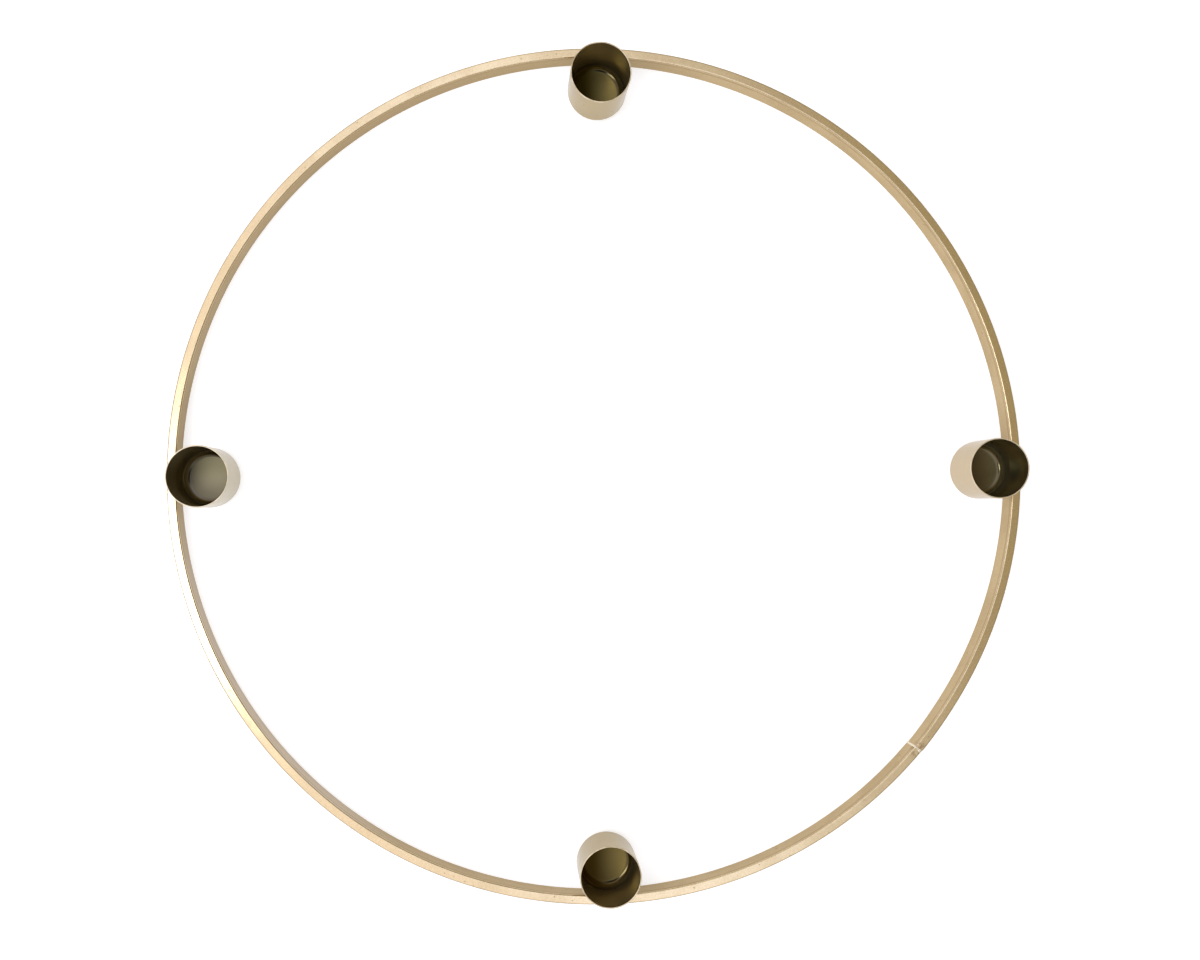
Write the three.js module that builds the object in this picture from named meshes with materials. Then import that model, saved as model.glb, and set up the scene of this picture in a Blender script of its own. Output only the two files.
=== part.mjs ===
// Candle ring: a flat bar bent on edge into a hoop, with drawn candle cups brazed inside it.
// Millimetres, +Z up. The origin is the centre of the hoop, on the plane that its underside rests on.

import * as THREE from 'three';

// Hoop bar
const HOOP_OUTER_DIAMETER = 360;
const BAR_THICKNESS = 3.8;
const BAR_HEIGHT = 10.4;
const BAR_EDGE_RADIUS = 0.8;

// Butt seam of the hoop: a straight gap that widens into a groove at the outer face, filled by the weld
const SEAM_ANGLE = THREE.MathUtils.degToRad(-41.7);
const SEAM_GAP = 0.8;
const GROOVE_DEPTH = 1.9;
const GROOVE_WIDTH = 1.8;
const WELD_CLEARANCE = 0.1;

// Candle cups, drawn from sheet and open at the top
const CUP_BORE = 24;
const CUP_WALL = 0.5;
const CUP_HEIGHT = 27;
const CUP_CORNER_RADIUS = 4;
const CUP_LIP_RADIUS = 0.2;
const CUP_LIFT = 2;

// Brazed joint between each cup and the hoop: a thin film with a fillet at both ends
const BRAZE_FILM = 0.12;
const BRAZE_CLEARANCE = 0.1;
const BRAZE_REACH = 6;
const BRAZE_HOLLOW = 1.4;

// How finely the round shapes are faceted
const HOOP_FACETS = 144;
const EDGE_FACETS = 2;
const CUP_FACETS = 48;
const CORNER_FACETS = 4;
const LIP_FACETS = 2;
const HOLLOW_FACETS = 3;

// Worked out from the sizes above
const HOOP_OUTER = HOOP_OUTER_DIAMETER / 2;
const HOOP_INNER = HOOP_OUTER - BAR_THICKNESS;
const CUP_INNER = CUP_BORE / 2;
const CUP_OUTER = CUP_INNER + CUP_WALL;
const CUP_SEAT_GAP = BRAZE_FILM + 2 * BRAZE_CLEARANCE;
const CUP_CIRCLE = HOOP_INNER - CUP_SEAT_GAP - CUP_OUTER;

// The cups stand a quarter turn apart
const CUP_PLACES = [
  { name: 'right', turn: 0 },
  { name: 'back', turn: Math.PI / 2 },
  { name: 'left', turn: Math.PI },
  { name: 'front', turn: -Math.PI / 2 },
];

// Finishes
const PLATED_BAR = { color: 0xcfae7c, roughness: 0.34, metalness: 1 };
const PLATED_CUP = { color: 0xcdb78f, roughness: 0.3, metalness: 1 };
const PLATED_JOINT = { color: 0xd8c6a0, roughness: 0.45, metalness: 1 };

function namedMesh(name, geometry, finish) {
  const mesh = new THREE.Mesh(geometry, new THREE.MeshStandardMaterial(finish));
  mesh.name = name;
  return mesh;
}

function polar(radius, angle) {
  return new THREE.Vector2(radius * Math.cos(angle), radius * Math.sin(angle));
}

// Angles from start to end, with a facet edge on each whole step between them
function arcAngles(start, end, step) {
  const margin = step / 8;
  const angles = [start];
  for (let k = Math.ceil((start + margin) / step); k * step < end - margin; k += 1) {
    angles.push(k * step);
  }
  angles.push(end);
  return angles;
}

// A point beside the seam: its distance from the hoop's axis along the seam, and its offset across it
function seamPoint(along, across) {
  return new THREE.Vector2(along, across).rotateAround(new THREE.Vector2(), SEAM_ANGLE);
}

// Plan of the hoop: outer arc, one grooved end, inner arc, the other grooved end
function hoopPlan() {
  const facet = (2 * Math.PI) / HOOP_FACETS;
  const outerTurn = Math.asin(GROOVE_WIDTH / 2 / HOOP_OUTER);
  const innerTurn = Math.asin(SEAM_GAP / 2 / HOOP_INNER);
  const outer = arcAngles(SEAM_ANGLE + outerTurn, SEAM_ANGLE + 2 * Math.PI - outerTurn, facet);
  const inner = arcAngles(SEAM_ANGLE + innerTurn, SEAM_ANGLE + 2 * Math.PI - innerTurn, facet);
  const rootRadius = HOOP_OUTER - GROOVE_DEPTH;
  return new THREE.Shape([
    ...outer.map((angle) => polar(HOOP_OUTER, angle)),
    seamPoint(rootRadius, -SEAM_GAP / 2),
    ...inner.reverse().map((angle) => polar(HOOP_INNER, angle)),
    seamPoint(rootRadius, SEAM_GAP / 2),
  ]);
}

function makeHoop() {
  const geometry = new THREE.ExtrudeGeometry(hoopPlan(), {
    depth: BAR_HEIGHT - 2 * BAR_EDGE_RADIUS,
    bevelThickness: BAR_EDGE_RADIUS,
    bevelSize: BAR_EDGE_RADIUS,
    bevelOffset: -BAR_EDGE_RADIUS,
    bevelSegments: EDGE_FACETS,
  });
  geometry.translate(0, 0, BAR_EDGE_RADIUS);
  return namedMesh('hoop_bar', geometry, PLATED_BAR);
}

// The weld fills the gap and its groove, and is ground flush with the bar's inner and outer faces
function makeSeamWeld() {
  const outerTurn = Math.asin(GROOVE_WIDTH / 2 / HOOP_OUTER);
  const outerEdge = new THREE.Vector2(HOOP_OUTER * Math.cos(outerTurn), GROOVE_WIDTH / 2);
  const rootEdge = new THREE.Vector2(HOOP_OUTER - GROOVE_DEPTH, SEAM_GAP / 2);
  const flank = outerEdge.clone().sub(rootEdge).normalize();
  const inset = new THREE.Vector2(flank.y, -flank.x).multiplyScalar(WELD_CLEARANCE);
  outerEdge.add(inset);
  rootEdge.add(inset);
  outerEdge.x = Math.sqrt(HOOP_OUTER ** 2 - outerEdge.y ** 2);
  const innerEdge = new THREE.Vector2(Math.sqrt(HOOP_INNER ** 2 - rootEdge.y ** 2), rootEdge.y);
  const flankPoints = [outerEdge, rootEdge, innerEdge];
  const plan = new THREE.Shape([
    ...flankPoints.map((point) => seamPoint(point.x, point.y)),
    ...flankPoints.toReversed().map((point) => seamPoint(point.x, -point.y)),
  ]);
  const height = BAR_HEIGHT - 2 * BAR_EDGE_RADIUS;
  const geometry = new THREE.ExtrudeGeometry(plan, { depth: height, bevelEnabled: false });
  geometry.translate(0, 0, BAR_EDGE_RADIUS);
  return namedMesh('hoop_seam_weld', geometry, PLATED_JOINT);
}

// Points of an arc in the profile plane, from one angle to another
function profileArc(centreR, centreZ, radius, from, to, facets) {
  return Array.from({ length: facets + 1 }, (_, i) => {
    const angle = from + ((to - from) * i) / facets;
    return polar(radius, angle).add(new THREE.Vector2(centreR, centreZ));
  });
}

// Profile of a cup from the axis under its floor, up the outside, over the lip and back down the inside
function cupProfile() {
  const quarter = Math.PI / 2;
  const cornerR = CUP_OUTER - CUP_CORNER_RADIUS;
  const lipZ = CUP_HEIGHT - CUP_LIP_RADIUS;
  const innerCorner = CUP_CORNER_RADIUS - CUP_WALL;
  return [
    new THREE.Vector2(0, 0),
    ...profileArc(cornerR, CUP_CORNER_RADIUS, CUP_CORNER_RADIUS, -quarter, 0, CORNER_FACETS),
    ...profileArc(CUP_OUTER - CUP_LIP_RADIUS, lipZ, CUP_LIP_RADIUS, 0, quarter, LIP_FACETS),
    ...profileArc(CUP_INNER + CUP_LIP_RADIUS, lipZ, CUP_LIP_RADIUS, quarter, 2 * quarter, LIP_FACETS),
    ...profileArc(cornerR, CUP_CORNER_RADIUS, innerCorner, 0, -quarter, CORNER_FACETS),
    new THREE.Vector2(0, CUP_WALL),
  ];
}

function makeCup(place) {
  const geometry = new THREE.LatheGeometry(cupProfile(), CUP_FACETS);
  geometry.rotateX(Math.PI / 2);
  const cup = namedMesh(`candle_cup_${place}`, geometry, PLATED_CUP);
  cup.position.set(CUP_CIRCLE, 0, CUP_LIFT);
  return cup;
}

// Half of the braze's plan, on the side that the given sign names, from the middle outwards
function brazeSide(sign) {
  const facet = (2 * Math.PI) / CUP_FACETS;
  const cupReach = Math.asin(BRAZE_REACH / CUP_OUTER);
  const hoopReach = Math.asin(BRAZE_REACH / HOOP_INNER);
  const cupCentre = new THREE.Vector2(CUP_CIRCLE, 0);
  const onCup = (angle) => polar(CUP_OUTER + BRAZE_CLEARANCE, sign * angle).add(cupCentre);
  const onHoop = (angle) => polar(HOOP_INNER - BRAZE_CLEARANCE, sign * angle);
  const cupEnd = onCup(cupReach);
  const hoopEnd = onHoop(hoopReach);
  const middle = cupEnd.clone().lerp(hoopEnd, 1 / 2);
  const pulledIn = middle.sub(new THREE.Vector2(0, sign * BRAZE_HOLLOW));
  const hollow = new THREE.QuadraticBezierCurve(cupEnd, pulledIn, hoopEnd);
  return {
    cupFace: arcAngles(0, cupReach, facet).slice(0, -1).map(onCup),
    end: hollow.getPoints(HOLLOW_FACETS),
    hoopFace: onHoop(0),
  };
}

// The braze lies where the cup's straight wall faces the bar's flat inner face
function makeBraze(place) {
  const left = brazeSide(1);
  const right = brazeSide(-1);
  const plan = new THREE.Shape([
    ...left.cupFace,
    ...left.end,
    left.hoopFace,
    ...right.end.reverse(),
    ...right.cupFace.reverse().slice(0, -1),
  ]);
  const bottom = CUP_LIFT + CUP_CORNER_RADIUS;
  const top = BAR_HEIGHT - BAR_EDGE_RADIUS;
  const geometry = new THREE.ExtrudeGeometry(plan, { depth: top - bottom, bevelEnabled: false });
  geometry.translate(0, 0, bottom);
  return namedMesh(`braze_joint_${place}`, geometry, PLATED_JOINT);
}

const candleRing = new THREE.Group();
candleRing.add(makeHoop(), makeSeamWeld());
for (const { name, turn } of CUP_PLACES) {
  const station = new THREE.Group();
  station.rotation.z = turn;
  station.add(makeCup(name), makeBraze(name));
  candleRing.add(station);
}

export default candleRing;
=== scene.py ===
# Looks of the candle ring: a flat bar hoop with drawn candle cups brazed inside it.
# Metres, +Z up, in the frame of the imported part.

import math

import bpy
import numpy as np
from mathutils import Euler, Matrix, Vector, noise


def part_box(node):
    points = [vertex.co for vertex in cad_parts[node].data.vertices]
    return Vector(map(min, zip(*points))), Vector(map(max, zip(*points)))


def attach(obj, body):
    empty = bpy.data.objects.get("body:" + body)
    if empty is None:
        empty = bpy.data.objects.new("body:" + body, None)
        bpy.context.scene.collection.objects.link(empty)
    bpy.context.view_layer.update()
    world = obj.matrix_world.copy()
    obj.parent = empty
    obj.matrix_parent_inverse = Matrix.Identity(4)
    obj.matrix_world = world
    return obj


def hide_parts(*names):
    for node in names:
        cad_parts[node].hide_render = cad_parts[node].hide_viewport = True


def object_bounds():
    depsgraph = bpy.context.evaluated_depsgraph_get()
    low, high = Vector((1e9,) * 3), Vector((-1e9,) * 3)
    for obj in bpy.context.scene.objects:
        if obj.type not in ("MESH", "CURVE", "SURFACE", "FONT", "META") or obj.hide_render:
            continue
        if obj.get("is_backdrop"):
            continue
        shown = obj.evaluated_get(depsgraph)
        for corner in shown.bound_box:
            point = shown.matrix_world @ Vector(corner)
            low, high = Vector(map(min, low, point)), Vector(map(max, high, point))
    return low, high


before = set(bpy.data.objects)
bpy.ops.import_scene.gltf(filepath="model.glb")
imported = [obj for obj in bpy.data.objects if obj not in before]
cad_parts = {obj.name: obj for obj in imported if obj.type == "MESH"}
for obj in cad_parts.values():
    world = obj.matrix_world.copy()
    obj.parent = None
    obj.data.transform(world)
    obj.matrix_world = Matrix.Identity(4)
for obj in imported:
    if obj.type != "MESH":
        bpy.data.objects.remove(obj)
CAD_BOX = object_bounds()

MM = 0.001

# Hoop: its overall size comes from the frame
HOOP_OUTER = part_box("hoop_bar")[1].x
BAR_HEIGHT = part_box("hoop_bar")[1].z
BAR_THICKNESS = 3.8 * MM
EDGE_INNER = 0.6 * MM
EDGE_OUTER = 0.5 * MM
HOOP_INNER = HOOP_OUTER - BAR_THICKNESS

# Butt seam of the hoop: a straight gap that widens into a groove at the outer face, filled by the weld
SEAM_ANGLE = math.radians(-41.7)
SEAM_GAP = 0.8 * MM
GROOVE_DEPTH = 1.9 * MM
GROOVE_WIDTH = 1.8 * MM
GROOVE_ROOT = HOOP_OUTER - GROOVE_DEPTH
END_STEP = 0.22 * MM
END_STEP_TURN = math.radians(7)

# Candle cups
PLACES = {"right": 0.0, "back": math.pi / 2, "left": math.pi, "front": -math.pi / 2}
CUP_LOW, CUP_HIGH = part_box("candle_cup_right")
CUP_OUTER = (CUP_HIGH.y - CUP_LOW.y) / 2
CUP_CIRCLE = CUP_HIGH.x - CUP_OUTER
CUP_WALL = 0.5 * MM
CUP_CORNER_RADIUS = 4 * MM
CUP_LIP_RADIUS = 0.2 * MM
CUP_INNER = CUP_OUTER - CUP_WALL

# A drawn floor is slightly dished. It meets the corner at this slope, and there at this distance and height
DISH = math.radians(6)
BEND = CUP_CORNER_RADIUS - CUP_WALL
DISH_EDGE = CUP_INNER - BEND + BEND * math.sin(DISH)
DISH_RADIUS = DISH_EDGE / math.sin(DISH)
DISH_TOP = CUP_LOW.z + CUP_WALL + DISH_RADIUS * (1 - math.cos(DISH))
BEND_TOP = DISH_TOP + BEND * math.cos(DISH)

# Brazed joint between each cup and the hoop
BRAZE_REACH = 6 * MM
BRAZE_HOLLOW = 0.9 * MM
BRAZE_SINK = 0.03 * MM

# Flats keep a support row this far from their rounded edges, so that smooth shading stays flat there
SUPPORT = 0.12 * MM


def arc(centre, radius, start, end, steps):
    """Points of an arc in a profile plane, from one angle to another in degrees."""
    angles = np.radians(np.linspace(start, end, steps + 1))
    return np.stack([centre[0] + radius * np.cos(angles), centre[1] + radius * np.sin(angles)], 1)


def straight(start, end, steps):
    """Points inside a straight stretch, with a support row near both ends."""
    start, end = np.array(start, float), np.array(end, float)
    length = np.linalg.norm(end - start)
    shares = np.linspace(SUPPORT / length, 1 - SUPPORT / length, steps + 1)
    return start + shares[:, None] * (end - start)


def grid_faces(rows, columns, closed_rows, closed_columns):
    """Quads of a grid of points that is stored row by row, as (row, column) of the four corners."""
    i, j = np.meshgrid(
        np.arange(rows if closed_rows else rows - 1),
        np.arange(columns if closed_columns else columns - 1),
        indexing="ij",
    )
    i, j = i.ravel(), j.ravel()
    corners = [(i, j), (i + 1, j), (i + 1, j + 1), (i, j + 1)]
    return np.array(corners).transpose(2, 0, 1)


def make_mesh(name, points, faces, runs, sharp_angle=40):
    """A smooth mesh. runs gives each face corner its place along and across the surface, in metres."""
    mesh = bpy.data.meshes.new(name)
    mesh.from_pydata([tuple(p) for p in points], [], [tuple(f) for f in faces])
    run = mesh.uv_layers.new(name="Run")
    run.data.foreach_set("uv", np.array(runs, np.float32).ravel())
    mesh.shade_smooth()
    mesh.set_sharp_from_angle(angle=math.radians(sharp_angle))
    mesh.update()
    return mesh


def set_wear(mesh, wear):
    """Stores how much handling has polished each point, from 0 to 1."""
    mesh.attributes.new("wear", "FLOAT", "POINT").data.foreach_set("value", np.array(wear, np.float32))


def add_piece(name, mesh, materials, slot, *nodes):
    """Puts a mesh in the scene as a piece that stands for its CAD nodes."""
    piece = bpy.data.objects.new(name, mesh)
    bpy.context.scene.collection.objects.link(piece)
    for material in materials:
        mesh.materials.append(material)
    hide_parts(*nodes)
    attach(piece, "root")
    return piece


# Hoop


def bar_profile():
    """Section of the bar as (distance from the hoop's axis, height), from the inner face over the top."""
    r0, r1, top = HOOP_INNER, HOOP_OUTER, BAR_HEIGHT
    a, b = EDGE_INNER, EDGE_OUTER
    steps = 6
    return np.concatenate([
        arc((r0 + a, top - a), a, 180, 90, steps),
        straight((r0 + a, top), (GROOVE_ROOT, top), 3),
        straight((GROOVE_ROOT, top), (r1 - b, top), 2),
        arc((r1 - b, top - b), b, 90, 0, steps + 2),
        straight((r1, top - b), (r1, b), 4),
        arc((r1 - b, b), b, 0, -90, steps + 2),
        straight((r1 - b, 0), (GROOVE_ROOT, 0), 2),
        straight((GROOVE_ROOT, 0), (r0 + a, 0), 3),
        arc((r0 + a, a), a, -90, -180, steps),
        straight((r0, a), (r0, top - a), 4),
    ])


def seam_half_width(radius):
    """Half of the opening between the bar's two ends, at a distance from the hoop's axis."""
    widening = np.clip((radius - GROOVE_ROOT) / GROOVE_DEPTH, 0, 1)
    return SEAM_GAP / 2 + widening * (GROOVE_WIDTH - SEAM_GAP) / 2


def make_hoop():
    stations = 1080
    profile = bar_profile()
    radius, height = profile[:, 0], profile[:, 1]
    share = np.linspace(0, 1, stations + 1)[:, None]
    opening = seam_half_width(radius) / radius
    angle = SEAM_ANGLE + opening + share * (2 * math.pi - 2 * opening)

    # The end that the share starts at stands a little proud of the other, as bent and welded ends do
    ease = np.clip(1 - share * 2 * math.pi / END_STEP_TURN, 0, 1)
    reach = radius + END_STEP * ease * ease * (3 - 2 * ease)
    points = np.stack([reach * np.cos(angle), reach * np.sin(angle), height + 0 * angle], -1)

    rows, columns = angle.shape
    corners = grid_faces(rows, columns, False, True)
    faces = (corners[..., 0] * columns + corners[..., 1] % columns).tolist()
    along = share[:, 0] * 2 * math.pi * HOOP_OUTER
    steps = np.linalg.norm(np.diff(profile, axis=0, append=profile[:1]), axis=1)
    across = np.concatenate([[0], np.cumsum(steps)])
    runs = np.stack([along[corners[..., 0]], across[corners[..., 1]]], -1).reshape(-1, 2).tolist()

    # Both ends are closed by two flat faces that meet at the root of the groove
    inner = np.flatnonzero(radius < GROOVE_ROOT)
    outer = np.flatnonzero(radius > GROOVE_ROOT)
    outer_loop = outer.tolist()
    first_inner = [k for k in inner if k < outer[0]]
    last_inner = [k for k in inner if k > outer[-1]]
    inner_loop = last_inner + first_inner
    bridge = [inner_loop[0], outer_loop[-1], outer_loop[0], inner_loop[-1]]
    last_row = (rows - 1) * columns
    for loop in (inner_loop, outer_loop, bridge[::-1]):
        near = [int(k) for k in loop]
        faces.append(near)
        faces.append([last_row + k for k in reversed(near)])
        for k in near + near[::-1]:
            runs.append([float(radius[k]), float(height[k])])
    return make_mesh("hoop", points.reshape(-1, 3), faces, runs)


def block_mesh(name, counts, place, scale):
    """A closed block of small quads. place turns each corner's three shares, from 0 to 1, into a point."""
    index, points, faces, runs = {}, [], [], []

    def corner(key):
        if key not in index:
            index[key] = len(points)
            points.append(place(*(k / n for k, n in zip(key, counts))))
        return index[key]

    for axis in range(3):
        side_a, side_b = (axis + 1) % 3, (axis + 2) % 3
        for end in (0, counts[axis]):
            for a in range(counts[side_a]):
                for b in range(counts[side_b]):
                    ring = [(a, b), (a + 1, b), (a + 1, b + 1), (a, b + 1)]
                    if end == 0:
                        ring.reverse()
                    face = []
                    for u, v in ring:
                        key = [0, 0, 0]
                        key[axis], key[side_a], key[side_b] = end, u, v
                        face.append(corner(tuple(key)))
                        runs.append([scale * u / counts[side_a], scale * v / counts[side_b]])
                    faces.append(face)
    return make_mesh(name, points, faces, runs, 60)


def make_weld():
    """The weld fills the seam from face to face. Ground by hand, its faces are uneven and pitted."""
    overlap = 0.04 * MM
    bulge = 0.13 * MM
    sink = 0.05 * MM
    top_gap = 0.1 * MM
    roughness = 0.07 * MM
    grain = 900
    middle = (HOOP_INNER + HOOP_OUTER) / 2
    length = BAR_HEIGHT - 2 * top_gap

    def place(across, depth, height):
        across, depth = 2 * across - 1, 2 * depth - 1
        edge = EDGE_OUTER if depth > 0 else EDGE_INNER
        corner = max(0.0, edge - min(height, 1 - height) * length)
        rounding = edge - math.sqrt(edge ** 2 - corner ** 2)
        crown = bulge * (1 - across ** 2) - sink
        radius = middle + depth * (BAR_THICKNESS / 2 - rounding) + depth ** 5 * crown
        side = across * (seam_half_width(radius) + overlap)
        point = Vector((radius, side, top_gap + height * length))
        shift = noise.noise(point * grain) * roughness
        point.x += shift * depth ** 3
        point.z += shift * (2 * height - 1)
        return point @ Euler((0, 0, -SEAM_ANGLE)).to_matrix()

    return block_mesh("weld", (12, 24, 60), place, BAR_HEIGHT)


def make_braze(turn):
    """The braze metal between a cup's wall and the bar, drawn into hollow fillets at its four open sides."""
    dip = 0.55 * MM
    overrun = 0.5 * MM
    end_drop = 0.9 * MM
    low = CUP_LOW.z + CUP_CORNER_RADIUS * 0.55
    high = BAR_HEIGHT - 0.15 * MM
    ripple = 0.05 * MM
    grain = 420

    def place(across, along, height):
        hollow = 4 * across * (1 - across)
        reach = 2 * along - 1
        y = reach * (BRAZE_REACH + overrun) - reach ** 5 * BRAZE_HOLLOW * hollow
        on_cup = CUP_CIRCLE + math.sqrt(CUP_OUTER ** 2 - y * y) - BRAZE_SINK
        on_hoop = math.sqrt(HOOP_INNER ** 2 - y * y) + BRAZE_SINK
        x = on_cup + across * (on_hoop - on_cup)
        width = (on_hoop - on_cup) / (2 * MM)
        fall = dip * (0.35 + width) * hollow + end_drop * abs(reach) ** 3
        top, bottom = high - fall, low + fall
        z = bottom + height * (top - bottom)
        z += noise.noise(Vector((x, y, turn)) * grain) * ripple * (2 * height - 1)
        return Vector((x, y, z)) @ Euler((0, 0, -turn)).to_matrix()

    return block_mesh("braze", (12, 64, 8), place, BAR_HEIGHT)


def cup_profile():
    """Profile of a cup as (distance from its axis, height): its outside with the lip, and then its inside."""
    corner, lip = CUP_CORNER_RADIUS, CUP_LIP_RADIUS
    base, rim = CUP_LOW.z, CUP_HIGH.z
    bend = CUP_OUTER - corner
    slope = math.degrees(DISH)
    outside = [
        straight((0.2 * MM, base), (bend, base), 8),
        arc((bend, base + corner), corner, -90, 0, 14),
        straight((CUP_OUTER, base + corner), (CUP_OUTER, rim - lip), 10),
        arc((CUP_OUTER - lip, rim - lip), lip, 0, 90, 5),
        arc((CUP_INNER + lip, rim - lip), lip, 90, 180, 5),
    ]
    inside = [
        straight((CUP_INNER, rim - lip), (CUP_INNER, BEND_TOP), 10),
        arc((CUP_INNER - BEND, BEND_TOP), BEND, 0, slope - 90, 14),
        arc((0, base + CUP_WALL + DISH_RADIUS), DISH_RADIUS, slope - 90, -90, 16)[1:-1],
    ]
    return np.concatenate(outside), np.concatenate(inside)


def make_cup(turn, offset):
    stations = 192
    outside, inside = cup_profile()
    profile = np.concatenate([outside, inside])
    radius, height = profile[:, 0], profile[:, 1]
    angle = np.linspace(0, 2 * math.pi, stations, endpoint=False)[:, None]
    points = np.stack([radius * np.cos(angle), radius * np.sin(angle), height + 0 * angle], -1).reshape(-1, 3)
    points = np.concatenate([points, [[0, 0, height[0]], [0, 0, CUP_LOW.z + CUP_WALL]]])

    columns = len(profile)
    corners = grid_faces(stations, columns, True, False)
    faces = (corners[..., 0] % stations * columns + corners[..., 1]).tolist()
    finish = (corners[:, 0, 1] >= len(outside) - 1).astype(int).tolist()
    around = np.linspace(0, 2 * math.pi * CUP_OUTER, stations + 1) + offset
    steps = np.linalg.norm(np.diff(profile, axis=0), axis=1)
    along = np.concatenate([[0], np.cumsum(steps)])
    runs = np.stack([around[corners[..., 0]], along[corners[..., 1]]], -1).reshape(-1, 2).tolist()

    # A fan of triangles closes the floor on its under side and on its upper side
    under, upper = stations * columns, stations * columns + 1
    for k in range(stations):
        here, there = k * columns, (k + 1) % stations * columns
        faces.append([under, there, here])
        faces.append([upper, here + columns - 1, there + columns - 1])
        finish += [0, 1]
        runs += [[around[k], 0], [around[k + 1], 0], [around[k], 0]]
        runs += [[around[k], along[-1]], [around[k], along[-1]], [around[k + 1], along[-1]]]

    points[:, 0] += CUP_CIRCLE
    x, y = points[:, 0].copy(), points[:, 1].copy()
    points[:, 0] = x * math.cos(turn) - y * math.sin(turn)
    points[:, 1] = x * math.sin(turn) + y * math.cos(turn)
    mesh = make_mesh("cup", points, faces, runs)
    mesh.polygons.foreach_set("material_index", finish)
    on_lip = height > CUP_HIGH.z - 1.2 * CUP_LIP_RADIUS
    set_wear(mesh, np.concatenate([np.tile(on_lip, stations), [0, 0]]))
    return mesh


# Materials


class Nodes:
    """Short calls to build a node tree."""

    def __init__(self, tree):
        self.tree = tree
        tree.nodes.clear()

    def add(self, kind, settings=None, **inputs):
        made = self.tree.nodes.new("ShaderNode" + kind)
        for key, value in (settings or {}).items():
            setattr(made, key, value)
        for key, value in inputs.items():
            socket = made.inputs[int(key[1:])] if key[0] == "_" else made.inputs[key.replace("_", " ")]
            if isinstance(value, bpy.types.NodeSocket):
                self.tree.links.new(value, socket)
            else:
                socket.default_value = value
        return made

    def coordinates(self):
        return self.add("TexCoord").outputs["Object"]

    def run(self, along, across):
        """The place along and across the surface, each in steps of its own count for a metre."""
        place = self.add("UVMap", {"uv_map": "Run"}).outputs["UV"]
        return self.add("VectorMath", {"operation": "MULTIPLY"}, _0=place, _1=(along, across, 0)).outputs[0]

    def noise(self, vector, scale, detail=2.0, rough=0.5):
        return self.add("TexNoise", Vector=vector, Scale=scale, Detail=detail, Roughness=rough).outputs["Fac"]

    def ramp(self, value, low, high, to_low=0.0, to_high=1.0):
        """Maps low to high onto to_low to to_high, held at both ends."""
        made = self.add("MapRange", Value=value, From_Min=low, From_Max=high, To_Min=to_low, To_Max=to_high)
        made.interpolation_type = "SMOOTHSTEP"
        return made.outputs[0]

    def towards(self, place, angle):
        """How far a place lies from the origin in the direction of an angle."""
        way = (math.cos(angle), math.sin(angle), 0)
        return self.add("VectorMath", {"operation": "DOT_PRODUCT"}, _0=place, _1=way).outputs["Value"]

    def distance(self, place, point):
        return self.add("VectorMath", {"operation": "DISTANCE"}, _0=place, _1=point).outputs["Value"]

    def direction(self, place):
        return self.add("VectorMath", {"operation": "NORMALIZE"}, _0=place).outputs[0]

    def math(self, operation, a, b):
        return self.add("Math", {"operation": operation}, _0=a, _1=b).outputs[0]

    def mix(self, factor, a, b):
        """Mixes two colours, each a socket or three numbers."""
        a, b = ((*c, 1) if isinstance(c, tuple) else c for c in (a, b))
        return self.add("Mix", {"data_type": "RGBA"}, _0=factor, _6=a, _7=b).outputs[2]

    def blend(self, factor, a, b):
        """Mixes two numbers."""
        return self.add("Mix", {"data_type": "FLOAT"}, _0=factor, _2=a, _3=b).outputs[0]

    def bump(self, height, distance):
        return self.add("Bump", Height=height, Distance=distance).outputs["Normal"]

    def output(self, shader, kind="OutputMaterial"):
        self.add(kind, Surface=shader)


# Tones of the bar's plating
PLATE = (0.62, 0.487, 0.29)
# Deeper tone of the plating, also laid on one side of the inner wall as painted shade
PLATE_DEEP = (0.5, 0.377, 0.208)
PLATE_WORN = (0.72, 0.61, 0.43)
# Painted light tone, laid on one side of the inner wall
PLATE_PAINTED_LIGHT = (0.74, 0.64, 0.51)
PLATE_LINE = (0.42, 0.31, 0.165)
# Painted shade tone, laid on one side of the top
PLATE_PAINTED_SHADE = (0.5, 0.39, 0.235)

# Painted light and shade around the hoop: on its inner wall painted light about one angle and painted shade
# about another, and on its top a little painted shade about a third. Each zone has its angle, the cosines of
# the turns away from it where it starts and where it is full, and its share there
PAINTED_LIGHT_ZONE = (math.radians(212), 0.86, 0.985, 1)
PAINTED_SHADE_ZONE = (math.radians(110), 0.79, 0.98, 0.9)
PAINTED_TOP_SHADE_ZONE = (math.radians(190), 0.72, 0.93, 0.6)

# A deeper line runs under the bar's top edge. It fades in and out between these depths below the top
LINE_FOOT = (2.7 * MM, 1.7 * MM)
LINE_HEAD = (0.6 * MM, 1.1 * MM)

# Heat marks lie around a place beside the seam. They start at one distance from it and are full at the other
HEAT_RADIUS = HOOP_OUTER - 2 * MM
HEAT_PLACE = (HEAT_RADIUS * math.cos(SEAM_ANGLE), HEAT_RADIUS * math.sin(SEAM_ANGLE), BAR_HEIGHT)
HEAT_REACH = (5 * MM, 1.5 * MM)
HEAT_SHARE = 0.75

# Tint of what the plating mirrors at a grazing angle
BAR_EDGE_TINT = (0.49, 0.45, 0.4)
CUP_EDGE_TINT = (0.78, 0.75, 0.69)

CUP_TONES = {
    "right": (0.55, 0.44, 0.29),
    "back": (0.42, 0.325, 0.175),
    "left": (0.5, 0.445, 0.335),
    "front": (0.375, 0.29, 0.155),
}
CUP_DEEPER = 0.9
TARNISH = (0.3, 0.2, 0.1)
JOINT = (0.75, 0.66, 0.5)
JOINT_DEEP = (0.62, 0.52, 0.36)

# The wall of each bore. Its patches are deeper by one share, and its side towards +X darker by the other
BORE_WALLS = {
    "right": (0.48, 0.41, 0.21),
    "back": (0.62, 0.48, 0.21),
    "left": (0.55, 0.42, 0.19),
    "front": (0.6, 0.47, 0.22),
}
BORE_DEEPER = 0.87
BORE_FAR = 0.58
BORE_FAR_REACH = 10 * MM
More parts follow.
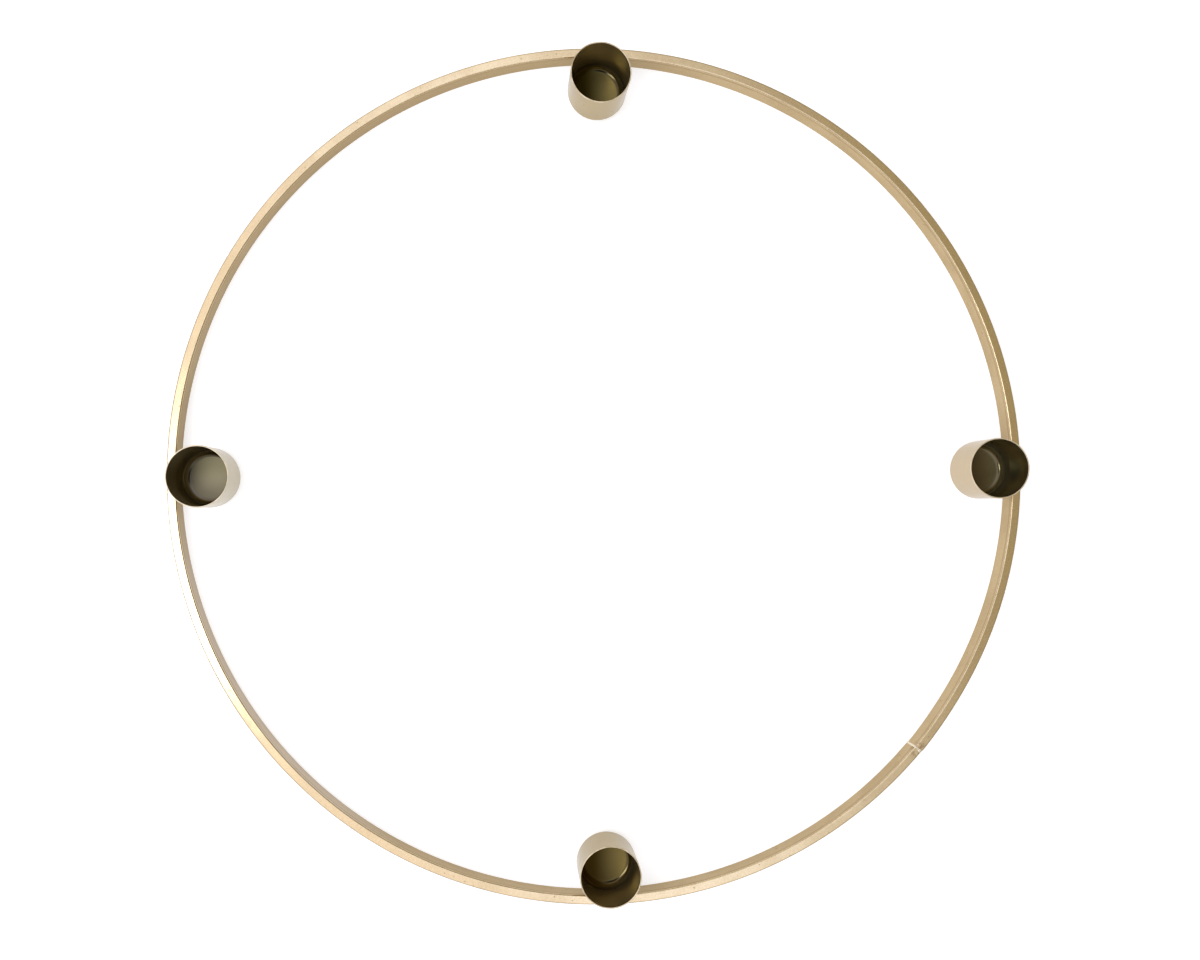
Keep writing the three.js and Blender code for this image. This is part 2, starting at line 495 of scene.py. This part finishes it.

# Each floor's angle of painted shading in degrees, its tone with painted shade at the near side and painted
# light at the far side along it, and its edge
BORE_FLOORS = {
    "right": (0, (0.052, 0.036, 0.018), (0.105, 0.08, 0.034), (0.085, 0.068, 0.036)),
    "back": (0, (0.014, 0.0095, 0.001), (0.12, 0.092, 0.03), (0.052, 0.043, 0.019)),
    "left": (-90, (0.044, 0.038, 0.022), (0.102, 0.087, 0.056), (0.078, 0.066, 0.044)),
    "front": (0, (0.023, 0.013, 0.002), (0.128, 0.095, 0.03), (0.07, 0.054, 0.023)),
}
# Distances from a cup's axis along its angle of shading, over which the floor's painted shade turns into
# painted light
FLOOR_PAINTED_SHADING = (-6 * MM, 9 * MM)

# The bend up into the wall, at the painted lit far side, and how much brighter than the floor's painted shade
# it is at the near side
BORE_BEND = (0.2, 0.175, 0.085)
SHADED_SIDE_BEND = 6

# Heights between which a bore passes from its floor to its edge, to its bend and to its wall
EDGE_ZONE = (DISH_TOP - 0.05 * MM, DISH_TOP + 0.05 * MM)
BEND_ZONE = (DISH_TOP + 0.3 * MM, DISH_TOP + 1.2 * MM)
WALL_ZONE = (BEND_TOP - 1.5 * MM, BEND_TOP + 0.5 * MM)

# A cool dark stain on the wall of one cup, on the side towards the bar
STAINED_CUP = "right"
STAIN_PLACE = (CUP_CIRCLE + CUP_INNER, -0.5 * MM, 15.5 * MM)
STAIN_REACH = (8 * MM, 3 * MM)
STAIN = (0.07, 0.09, 0.075)

# Share of dull film on the wall of each bore, at its foot and from half of its height
BORE_FILMS = {"right": (0.3, 0.0), "back": (0.15, 0.15), "left": (0.14, 0.04), "front": (0.2, 0.16)}


def scaled(tone, share):
    return tuple(share * channel for channel in tone)


def new_material(name):
    material = bpy.data.materials.new(name)
    material.use_nodes = True
    return material, Nodes(material.node_tree)


def plating(n, brushed, light=PLATE, deep=PLATE_DEEP, blemish=1.0):
    """Colour, roughness and relief of satin plating: clouds, fine grain, a few specks and worn edges."""
    place = n.coordinates()
    cloud = n.ramp(n.noise(place, 70, 3.0), 0.35, 0.65)
    grain = n.ramp(n.noise(place, 1500, 2.0), 0.3, 0.7)
    specks = n.ramp(n.noise(place, 620, 1.0, 0.3), 0.735, 0.79)
    tone = n.math("ADD", n.math("MULTIPLY", cloud, 0.45 * blemish), n.math("MULTIPLY", grain, 0.4))
    colour = n.mix(tone, light, deep)
    wear = n.add("Attribute", {"attribute_name": "wear"}).outputs["Fac"]
    worn = n.math("MULTIPLY", wear, n.ramp(n.noise(place, 240, 2.0), 0.35, 0.6, 0.3, 0.9))
    colour = n.mix(worn, colour, PLATE_WORN)
    colour = n.mix(n.math("MULTIPLY", specks, 0.55 * blemish), colour, TARNISH)
    rough = n.ramp(n.math("ADD", cloud, brushed), 0.0, 2.0, 0.14, 0.24)
    rough = n.math("ADD", rough, n.math("MULTIPLY", specks, 0.2))
    rough = n.math("ADD", rough, n.math("MULTIPLY", wear, 0.25))
    height = n.math("ADD", n.math("MULTIPLY", brushed, 0.6), n.math("MULTIPLY", grain, 0.4))
    return colour, rough, height


def metal(n, colour, rough, normal, edge=(1, 1, 1), coat=0.2, bare=1.0):
    """Plated metal. edge tints what it mirrors at a grazing angle. coat is its share of clear lacquer, and
    bare is the share of it that no dull film covers."""
    shader = n.add(
        "BsdfPrincipled",
        Base_Color=colour,
        Roughness=rough,
        Normal=normal,
        Metallic=bare,
        Specular_Tint=(*edge, 1),
        Coat_Weight=coat,
        Coat_Roughness=0.2,
    )
    n.output(shader.outputs[0])


def bar_material():
    """Satin plating with fine grinding marks along the bar, painted light and painted shade about some angles
    around the hoop, a deeper line under its top edge, and heat marks beside the seam."""
    material, n = new_material("bar_plating")
    brushed = n.ramp(n.noise(n.run(90, 5200), 1.0, 3.0), 0.3, 0.7)
    colour, rough, height = plating(n, brushed)
    place = n.coordinates()
    level = n.add("SeparateXYZ", _0=place).outputs["Z"]
    flat = n.add("VectorMath", {"operation": "MULTIPLY"}, _0=place, _1=(1, 1, 0)).outputs[0]
    radius = n.add("VectorMath", {"operation": "LENGTH"}, _0=flat).outputs["Value"]
    way = n.direction(flat)
    inner = n.ramp(radius, HOOP_INNER + 0.2 * MM, HOOP_INNER + 0.05 * MM)
    top = n.math("SUBTRACT", 1.0, inner)
    # Painted light and painted shade on the inner wall and on the top, each about its angle
    painted_zones = [
        (inner, PLATE_PAINTED_LIGHT, PAINTED_LIGHT_ZONE),
        (inner, PLATE_DEEP, PAINTED_SHADE_ZONE),
        (top, PLATE_PAINTED_SHADE, PAINTED_TOP_SHADE_ZONE),
    ]
    for face, tone, (angle, start, full, share) in painted_zones:
        near = n.ramp(n.towards(way, angle), start, full, 0, share)
        colour = n.mix(n.math("MULTIPLY", face, near), colour, tone)
    foot = n.ramp(level, *(BAR_HEIGHT - depth for depth in LINE_FOOT))
    head = n.ramp(level, *(BAR_HEIGHT - depth for depth in LINE_HEAD))
    patches = n.ramp(n.noise(place, 90, 2.0), 0.3, 0.6, 0.45, 0.85)
    under = n.math("MULTIPLY", foot, n.math("MULTIPLY", head, patches))
    colour = n.mix(under, colour, PLATE_LINE)
    spots = n.ramp(n.noise(place, 800, 2.0), 0.42, 0.6)
    burnt = n.math("MULTIPLY", n.ramp(n.distance(place, HEAT_PLACE), *HEAT_REACH), spots)
    colour = n.mix(n.math("MULTIPLY", burnt, HEAT_SHARE), colour, TARNISH)
    metal(n, colour, rough, n.bump(height, 0.006 * MM), BAR_EDGE_TINT)
    return material


def joint_material():
    """Weld and braze metal: paler and rougher than the plating, with pits and heat tint."""
    material, n = new_material("joint_metal")
    place = n.coordinates()
    lumps = n.ramp(n.noise(place, 1300, 4.0), 0.3, 0.7)
    colour, rough, _ = plating(n, lumps, JOINT, JOINT_DEEP)
    colour = n.mix(n.ramp(n.noise(place, 2400, 2.0), 0.62, 0.72, 0, 0.6), colour, TARNISH)
    metal(n, colour, n.math("ADD", rough, 0.1), n.bump(lumps, 0.03 * MM))
    return material


def cup_material(name, tone):
    """Satin plating with faint draw marks up the wall, for the outside and lip of a cup."""
    material, n = new_material("cup_plating_" + name)
    drawn = n.ramp(n.noise(n.run(3800, 70), 1.0, 3.0), 0.3, 0.7)
    colour, rough, height = plating(n, drawn, tone, scaled(tone, CUP_DEEPER), 0.3)
    metal(n, colour, rough, n.bump(height, 0.005 * MM), CUP_EDGE_TINT)
    return material


def bore_material(name):
    """Dark olive bronze inside a cup, ringed by its tooling. The floor is darker, with painted shade on one
    side that turns into painted light on the other, and its bend glossier.
    """
    material, n = new_material("cup_bore_" + name)
    wall_tone = BORE_WALLS[name]
    shading, floor_shaded, floor_lit, edge_tone = BORE_FLOORS[name]
    centre = (CUP_CIRCLE * math.cos(PLACES[name]), CUP_CIRCLE * math.sin(PLACES[name]), 0)
    middle = (CUP_LOW.z + CUP_HIGH.z) / 2
    rings = n.ramp(n.noise(n.run(30, 2600), 1.0, 2.0), 0.3, 0.7)
    patch = n.ramp(n.noise(n.coordinates(), 160, 3.0), 0.35, 0.65)
    place = n.add("SeparateXYZ", _0=n.coordinates()).outputs
    height = place["Z"]
    offset = n.add("VectorMath", {"operation": "SUBTRACT"}, _0=n.coordinates(), _1=centre).outputs[0]
    # Share of painted light across the floor, rising from its painted shaded side
    side = n.ramp(n.towards(offset, math.radians(shading)), *FLOOR_PAINTED_SHADING)
    far = n.ramp(place["X"], centre[0], centre[0] + BORE_FAR_REACH)
    edge = n.ramp(height, *EDGE_ZONE)
    bend = n.ramp(height, *BEND_ZONE)
    wall = n.ramp(height, *WALL_ZONE)
    mottle = n.math("MULTIPLY", n.math("ADD", patch, rings), 0.5)
    tone = n.mix(mottle, wall_tone, scaled(wall_tone, BORE_DEEPER))
    tone = n.mix(far, tone, scaled(wall_tone, BORE_FAR))
    if name == STAINED_CUP:
        tone = n.mix(n.ramp(n.distance(n.coordinates(), STAIN_PLACE), *STAIN_REACH), tone, STAIN)
    # The floor and its bend go from painted shade at the near side to painted light at the far side
    floor = n.mix(side, floor_shaded, n.mix(edge, floor_lit, edge_tone))
    turn = n.mix(side, scaled(floor_shaded, SHADED_SIDE_BEND), BORE_BEND)
    colour = n.mix(wall, n.mix(bend, floor, turn), tone)
    rough = n.blend(bend, n.blend(edge, 0.26, 0.12), 0.26)
    dull = n.math("MULTIPLY", bend, n.ramp(height, BEND_TOP, middle, *BORE_FILMS[name]))
    bare = n.math("SUBTRACT", 1.0, dull)
    metal(n, colour, rough, n.bump(rings, 0.0015 * MM), coat=0.0, bare=bare)
    return material


# Stage


def make_camera():
    """Looks down on the ring as the photograph does."""
    data = bpy.data.cameras.new("camera")
    data.sensor_width = 36
    data.lens = 37.557
    data.shift_x = 0.02126
    data.shift_y = 0.00068
    data.clip_start = 0.01
    camera = bpy.data.objects.new("camera", data)
    camera.location = (-42.78 * MM, -13.72 * MM, 534.69 * MM)
    camera.rotation_euler = [math.radians(a) for a in (1.2098, -3.3741, -0.6707)]
    bpy.context.scene.collection.objects.link(camera)
    bpy.context.scene.camera = camera


def stage_object(name, mesh, material):
    made = bpy.data.objects.new(name, mesh)
    bpy.context.scene.collection.objects.link(made)
    mesh.materials.append(material)
    made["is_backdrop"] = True
    return made


def make_floor():
    """A plain white table, lit as any white surface is, and lifted a little to the photograph's white."""
    radius = 8.0
    lift = 0.6
    whiteness = 0.6
    material, n = new_material("table")
    path = n.add("LightPath").outputs
    seen = n.math("MAXIMUM", path["Is Camera Ray"], path["Is Glossy Ray"])
    seen = n.math("MAXIMUM", seen, path["Is Transmission Ray"])
    diffuse = n.add("BsdfDiffuse", Color=(whiteness, whiteness, whiteness, 1)).outputs[0]
    glow = n.add("Emission", Strength=n.math("MULTIPLY", seen, lift)).outputs[0]
    n.output(n.add("AddShader", _0=diffuse, _1=glow).outputs[0])
    material.cycles.emission_sampling = "NONE"
    sides = 64
    turns = [2 * math.pi * k / sides for k in range(sides)]
    mesh = bpy.data.meshes.new("table")
    mesh.from_pydata([(radius * math.cos(a), radius * math.sin(a), 0) for a in turns], [], [range(sides)])
    stage_object("table", mesh, material)


def make_tent():
    """A light tent round the table: white at its upper left, warm grey at its right, with a dark skirt."""
    radius = 1.5
    away = math.radians(15)
    bright = (1.7, 1.82, 2.28)
    left = (1.5, 1.47, 1.6)
    low = (1.42, 1.35, 1.26)
    shade = (0.573, 0.515, 0.363)
    skirt = (0.12, 0.115, 0.105)
    material, n = new_material("tent")
    place = n.direction(n.coordinates())
    rightward = n.towards(place, away)
    upward = n.add("SeparateXYZ", _0=place).outputs["Z"]
    colour = n.mix(n.ramp(upward, 0.78, 0.93), low, bright)
    colour = n.mix(n.ramp(rightward, -0.18, -0.04), left, colour)
    colour = n.mix(n.ramp(rightward, 0.038, 0.444), colour, shade)
    colour = n.mix(n.ramp(upward, 0.3, 0.6), skirt, colour)
    n.output(n.add("Emission", Color=colour, Strength=1.0).outputs[0])
    material.cycles.emission_sampling = "NONE"

    rows, columns = 24, 64
    tilt = np.linspace(0.02, math.pi / 2, rows)[:, None]
    turn = np.linspace(0, 2 * math.pi, columns, endpoint=False)
    points = np.stack([
        radius * np.sin(tilt) * np.cos(turn),
        radius * np.sin(tilt) * np.sin(turn),
        radius * np.cos(tilt) + 0 * turn,
    ], -1).reshape(-1, 3)
    corners = grid_faces(rows, columns, False, True)
    faces = (corners[..., 0] * columns + corners[..., 1] % columns).tolist()
    faces.append(list(range(columns)))
    mesh = bpy.data.meshes.new("tent")
    mesh.from_pydata(points.tolist(), [], faces)
    tent = stage_object("tent", mesh, material)
    tent.visible_camera = False
    tent.visible_shadow = False


def make_opening():
    """The opening at the top of the tent that the camera looks through. It shows dark in reflections."""
    radius = 0.1
    sides = 48
    material, n = new_material("opening")
    n.output(n.add("Emission", Color=(0.04, 0.04, 0.045, 1), Strength=1.0).outputs[0])
    material.cycles.emission_sampling = "NONE"
    turns = [2 * math.pi * k / sides for k in range(sides)]
    mesh = bpy.data.meshes.new("opening")
    mesh.from_pydata([(radius * math.cos(a), radius * math.sin(a), 0) for a in turns], [], [range(sides)])
    opening = stage_object("opening", mesh, material)
    opening.location = (-0.043, -0.0135, 0.555)
    opening.visible_camera = False
    opening.visible_diffuse = False
    opening.visible_shadow = False


def make_lamp():
    """The soft box at the upper left."""
    data = bpy.data.lights.new("soft_box", "AREA")
    data.shape = "RECTANGLE"
    data.size = 0.31
    data.size_y = 0.46
    data.energy = 3.4
    data.color = (0.92, 0.96, 1.0)
    lamp = bpy.data.objects.new("soft_box", data)
    lamp.location = (-0.53, -0.098, 1.2)
    aim = Vector((-0.1, 0, 0))
    lamp.rotation_euler = (aim - lamp.location).to_track_quat("-Z", "Y").to_euler()
    bpy.context.scene.collection.objects.link(lamp)


def make_world():
    world = bpy.data.worlds.new("studio")
    world.use_nodes = True
    n = Nodes(world.node_tree)
    n.output(n.add("Background", Color=(1, 1, 1, 1), Strength=1.0).outputs[0], "OutputWorld")
    bpy.context.scene.world = world


make_camera()
make_floor()
make_tent()
make_opening()
make_lamp()
make_world()
bpy.context.scene.view_settings.view_transform = "Standard"

joint_finish = joint_material()
add_piece("hoop", make_hoop(), [bar_material()], "plated_bar", "hoop_bar")
add_piece("seam_weld", make_weld(), [joint_finish], "plated_joint", "hoop_seam_weld")
for number, (place, turn) in enumerate(PLACES.items()):
    cup = make_cup(turn, number * 0.31)
    finishes = [cup_material(place, CUP_TONES[place]), bore_material(place)]
    add_piece("cup_" + place, cup, finishes, "plated_cup", "candle_cup_" + place)
    add_piece("braze_" + place, make_braze(turn), [joint_finish], "plated_joint", "braze_joint_" + place)

sizes = [[list(corner) for corner in box] for box in (CAD_BOX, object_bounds())]
